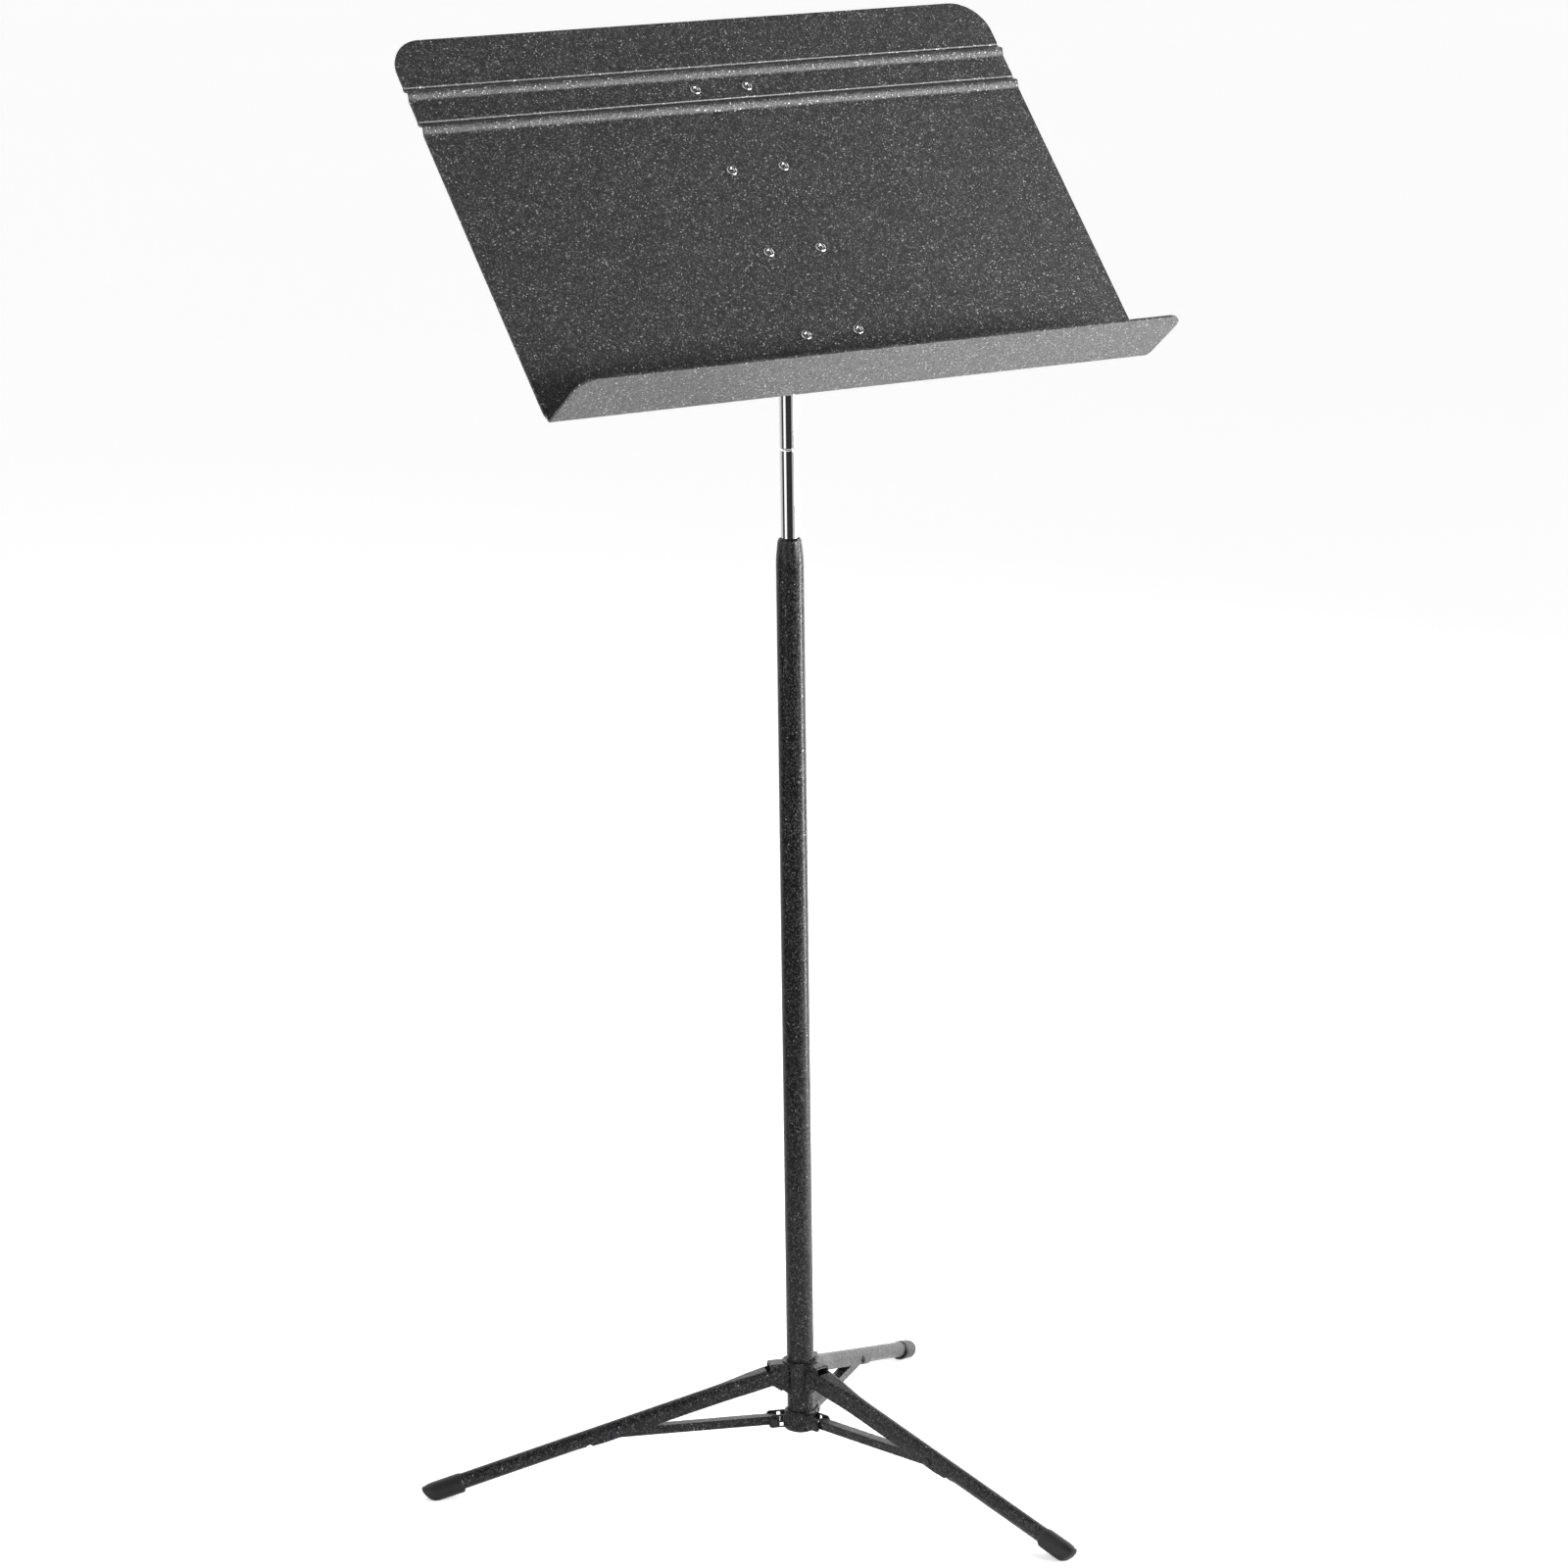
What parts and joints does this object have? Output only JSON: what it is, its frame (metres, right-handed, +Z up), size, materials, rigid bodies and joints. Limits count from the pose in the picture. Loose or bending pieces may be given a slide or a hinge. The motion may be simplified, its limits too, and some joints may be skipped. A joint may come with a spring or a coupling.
{
  "type": "music stand",
  "caption": "Orchestral music stand with a wide ribbed tilting desk and ledge on a telescoping pole, standing on a folding three-legged base.",
  "frame": {"origin": "on the floor, straight under the pole's axis", "axes": "+Z up along the pole, the desk faces -Y and the desk's width runs along X"},
  "size_m": [0.5208, 0.464, 1.0594],
  "materials": {
    "desk_coat": "black powder coat with fine silver flecks",
    "frame_coat": "black powder coat with fine silver flecks",
    "chrome": "bright chrome plate",
    "zinc": "dull zinc plate",
    "rivet_coat": "black coated rivet and pin heads",
    "nylon": "satin moulded nylon",
    "vinyl": "soft black vinyl"
  },
  "bodies": {
    "pole": {"outer_tube": "frame_coat", "mouth_bush": "nylon", "tube_end_plug": "nylon", "lower_hub": "frame_coat"},
    "collar": {"upper_hub": "frame_coat", "leg_pin_1": "rivet_coat", "leg_pin_2": "rivet_coat", "leg_pin_3": "rivet_coat"},
    "leg_1_body": {"leg_1": "frame_coat", "foot_cap_1": "vinyl", "strut_outer_pin_1": "rivet_coat"},
    "strut_1_body": {"strut_1": "frame_coat", "strut_inner_pin_1": "rivet_coat"},
    "leg_2_body": {"leg_2": "frame_coat", "foot_cap_2": "vinyl", "strut_outer_pin_2": "rivet_coat"},
    "strut_2_body": {"strut_2": "frame_coat", "strut_inner_pin_2": "rivet_coat"},
    "leg_3_body": {"leg_3": "frame_coat", "foot_cap_3": "vinyl", "strut_outer_pin_3": "rivet_coat"},
    "strut_3_body": {"strut_3": "frame_coat", "strut_inner_pin_3": "rivet_coat"},
    "slider": {"guide_bush": "nylon"},
    "inner_pole": {"inner_tube": "chrome", "inner_tube_plug": "nylon", "bush_retainer": "zinc"},
    "neck": {"neck_tube": "chrome", "neck_spigot": "zinc", "tilt_block": "frame_coat"},
    "desk": {"desk_panel": "desk_coat", "desk_spine": "desk_coat", "desk_rivet_1": "rivet_coat", "desk_rivet_2": "rivet_coat", "desk_rivet_3": "rivet_coat", "desk_rivet_4": "rivet_coat", "desk_rivet_5": "rivet_coat", "desk_rivet_6": "rivet_coat", "desk_rivet_7": "rivet_coat", "desk_rivet_8": "rivet_coat", "tilt_bolt": "zinc", "tilt_nut": "zinc", "friction_washer_left": "nylon", "friction_washer_right": "nylon"}
  },
  "joints": [
    {"name": "base_fold", "type": "slide", "parent": "pole", "child": "collar", "axis": [0, 0, 1], "range_m": [0, 0.2067]},
    {"name": "leg_1_hinge", "type": "hinge", "parent": "collar", "child": "leg_1_body", "pos_m": [-0.02046, 0.0081, 0.072], "axis": [-0.3681, -0.9298, 0], "range_deg": [0, 65.2]},
    {"name": "strut_1_hinge", "type": "hinge", "parent": "leg_1_body", "child": "strut_1_body", "pos_m": [-0.1311, 0.05191, 0.0397], "axis": [-0.3681, -0.9298, 0], "range_deg": [-144.8, 0]},
    {"name": "leg_2_hinge", "type": "hinge", "parent": "collar", "child": "leg_2_body", "pos_m": [0.00321, -0.02176, 0.072], "axis": [0.9893, 0.1461, 0], "range_deg": [0, 65.2]},
    {"name": "strut_2_hinge", "type": "hinge", "parent": "leg_2_body", "child": "strut_2_body", "pos_m": [0.0206, -0.13949, 0.0397], "axis": [0.9893, 0.1461, 0], "range_deg": [-144.8, 0]},
    {"name": "leg_3_hinge", "type": "hinge", "parent": "collar", "child": "leg_3_body", "pos_m": [0.01724, 0.01367, 0.072], "axis": [-0.6211, 0.7837, 0], "range_deg": [0, 65.2]},
    {"name": "strut_3_hinge", "type": "hinge", "parent": "leg_3_body", "child": "strut_3_body", "pos_m": [0.1105, 0.08758, 0.0397], "axis": [-0.6211, 0.7837, 0], "range_deg": [-144.8, 0]},
    {"name": "height_slide", "type": "slide", "parent": "pole", "child": "slider", "axis": [0, 0, 1], "range_m": [-0.13, 0.36]},
    {"name": "desk_swivel", "type": "hinge", "parent": "slider", "child": "inner_pole", "pos_m": [0, 0, 0.5], "axis": [0, 0, 1], "continuous": true},
    {"name": "desk_lift_off", "type": "slide", "parent": "inner_pole", "child": "neck", "axis": [0, 0, 1], "range_m": [0, 0.036]},
    {"name": "desk_tilt", "type": "hinge", "parent": "neck", "child": "desk", "pos_m": [0, 0, 0.871], "axis": [1, 0, 0], "range_deg": [-49.6, 40.4]}
  ],
  "couplings": [
    {"joint": "leg_1_hinge", "follows": "base_fold", "rad_per_m": 5.4872},
    {"joint": "strut_1_hinge", "follows": "base_fold", "rad_per_m": -12.209},
    {"joint": "leg_2_hinge", "follows": "base_fold", "rad_per_m": 5.4872},
    {"joint": "strut_2_hinge", "follows": "base_fold", "rad_per_m": -12.209},
    {"joint": "leg_3_hinge", "follows": "base_fold", "rad_per_m": 5.4872},
    {"joint": "strut_3_hinge", "follows": "base_fold", "rad_per_m": -12.209}
  ]
}
